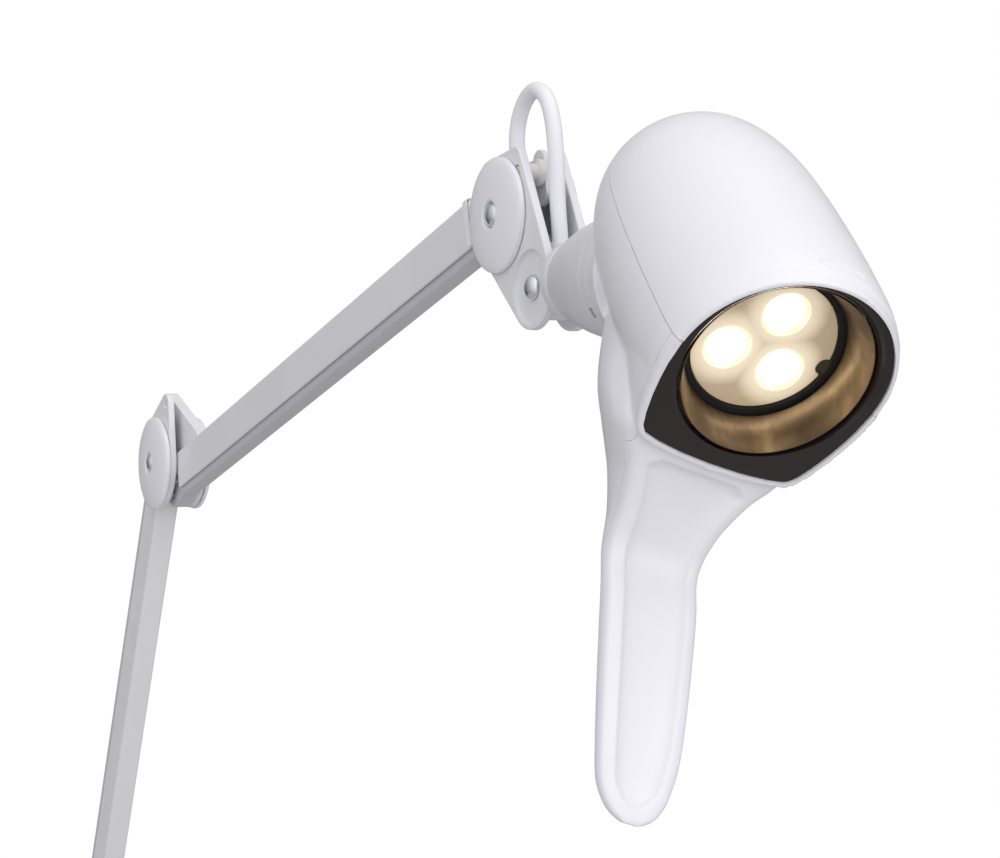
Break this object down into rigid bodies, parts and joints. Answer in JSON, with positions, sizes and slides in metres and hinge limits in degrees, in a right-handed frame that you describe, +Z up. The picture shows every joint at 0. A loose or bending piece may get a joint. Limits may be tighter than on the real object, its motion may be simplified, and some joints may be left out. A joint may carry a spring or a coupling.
{
  "type": "examination light",
  "caption": "Examination and minor-surgery light: LED lamp head with a handle, tilting and turning on a two-section balanced parallelogram arm with a round fixing flange.",
  "frame": {"origin": "centre of the underside of the fixing flange", "axes": "+Z up along the base swivel; +X from the base towards the lamp head; the arm folds in the XZ plane and the head is turned a little towards -Y"},
  "size_m": [0.8905, 0.1155, 0.6437],
  "materials": {
    "white_paint": "fine satin powder coat",
    "white_plastic": "satin moulded plastic",
    "neck_plastic": "satin moulded plastic",
    "nylon": "natural nylon",
    "black_gloss": "semi-gloss moulded plastic",
    "black_matte": "matt moulded plastic",
    "chrome": "bright chrome plate",
    "zinc_steel": "zinc plated",
    "spring_steel": "oiled spring steel",
    "bronze_reflector": "metallised bronze",
    "cast_aluminium": "as cast",
    "clear_lens": "clear moulded optics",
    "led_emitter": "warm white phosphor",
    "board_white": "white solder mask",
    "cable_white": "soft satin sheath",
    "button_grey": "matt soft-touch"
  },
  "bodies": {
    "base": {"base_flange": "white_paint", "spigot_bush": "nylon"},
    "turntable": {"base_spigot": "zinc_steel", "base_fork": "white_paint", "base_axle": "zinc_steel", "base_link_pin": "zinc_steel"},
    "lower_arm": {"lower_arm_channel": "white_paint", "lower_arm_base_end": "cast_aluminium", "lower_arm_elbow_end": "cast_aluminium"},
    "lower_tie": {"lower_arm_tie": "white_paint", "lower_arm_spring": "spring_steel"},
    "elbow": {"elbow_cheek_near": "white_paint", "elbow_cheek_far": "white_paint", "elbow_axle": "zinc_steel", "elbow_pin_lower": "zinc_steel", "elbow_pin_upper": "zinc_steel", "elbow_cap_near": "white_plastic", "elbow_cap_far": "white_plastic", "elbow_screw_near": "chrome", "elbow_screw_far": "chrome"},
    "upper_arm": {"upper_arm_channel": "white_paint", "upper_arm_elbow_end": "white_paint", "upper_arm_head_end": "cast_aluminium", "upper_arm_collar": "white_plastic", "spring_anchor_pin": "nylon"},
    "upper_tie": {"upper_arm_tie": "white_paint", "upper_arm_spring": "spring_steel"},
    "fork": {"fork_cheek_near": "white_paint", "fork_cheek_far": "white_paint", "fork_axle": "zinc_steel", "fork_link_pin": "zinc_steel", "fork_cap_near": "white_plastic", "fork_cap_far": "white_plastic", "fork_screw_near": "chrome", "fork_screw_far": "chrome", "fork_spacer": "nylon", "fork_web": "white_paint", "fork_brace": "zinc_steel", "cable_loop": "cable_white"},
    "neck": {"tilt_block": "white_paint", "tilt_axle": "zinc_steel", "tilt_screw_near": "chrome", "tilt_screw_far": "chrome", "neck_cone": "neck_plastic", "swivel_shaft": "zinc_steel"},
    "head": {"body_shell": "white_plastic", "hood_cover": "white_plastic", "front_frame": "white_plastic", "bezel": "black_gloss", "reflector": "bronze_reflector", "lens_ring": "black_matte", "lens_plate": "clear_lens", "led_1": "led_emitter", "led_2": "led_emitter", "led_3": "led_emitter", "led_board": "board_white", "heat_sink": "cast_aluminium"},
    "button": {"power_button": "button_grey"}
  },
  "joints": [
    {"name": "base_swivel", "type": "hinge", "parent": "base", "child": "turntable", "pos_m": [0, 0, 0.06], "axis": [0, 0, 1], "range_deg": [-175, 175]},
    {"name": "lower_arm_lean", "type": "hinge", "parent": "turntable", "child": "lower_arm", "pos_m": [0, 0, 0.092], "axis": [0, 1, 0], "range_deg": [-34, 35]},
    {"name": "lower_tie_turn", "type": "hinge", "parent": "turntable", "child": "lower_tie", "pos_m": [-0.024, 0, 0.1], "axis": [0, 1, 0], "range_deg": [-34.5, 35.5]},
    {"name": "elbow_level", "type": "hinge", "parent": "lower_arm", "child": "elbow", "pos_m": [0.17901, 0, 0.48846], "axis": [0, 1, 0], "range_deg": [-35.5, 34.5]},
    {"name": "upper_arm_rise", "type": "hinge", "parent": "elbow", "child": "upper_arm", "pos_m": [0.17901, 0, 0.48846], "axis": [0, -1, 0], "range_deg": [-36, 28]},
    {"name": "upper_tie_turn", "type": "hinge", "parent": "elbow", "child": "upper_tie", "pos_m": [0.19101, 0, 0.47096], "axis": [0, -1, 0], "range_deg": [-36.5, 28.5]},
    {"name": "fork_level", "type": "hinge", "parent": "upper_arm", "child": "fork", "pos_m": [0.59695, 0, 0.60909], "axis": [0, -1, 0], "range_deg": [-28.5, 36.5]},
    {"name": "head_tilt", "type": "hinge", "parent": "fork", "child": "neck", "pos_m": [0.63565, 0, 0.56149], "axis": [0, 1, 0], "range_deg": [-20, 70], "deforming": ["cable_loop"]},
    {"name": "head_turn", "type": "hinge", "parent": "neck", "child": "head", "pos_m": [0.70568, 0, 0.5621], "axis": [0.9997, 0, -0.0227], "range_deg": [-72, 107]},
    {"name": "power_press", "type": "slide", "parent": "head", "child": "button", "axis": [0.9997, 0, -0.0227], "range_m": [0, 0.0012], "stiffness_N_per_m": 400}
  ],
  "couplings": [
    {"joint": "lower_tie_turn", "follows": "lower_arm_lean", "ratio": 1},
    {"joint": "elbow_level", "follows": "lower_arm_lean", "ratio": -1},
    {"joint": "upper_tie_turn", "follows": "upper_arm_rise", "ratio": 1},
    {"joint": "fork_level", "follows": "upper_arm_rise", "ratio": -1}
  ]
}
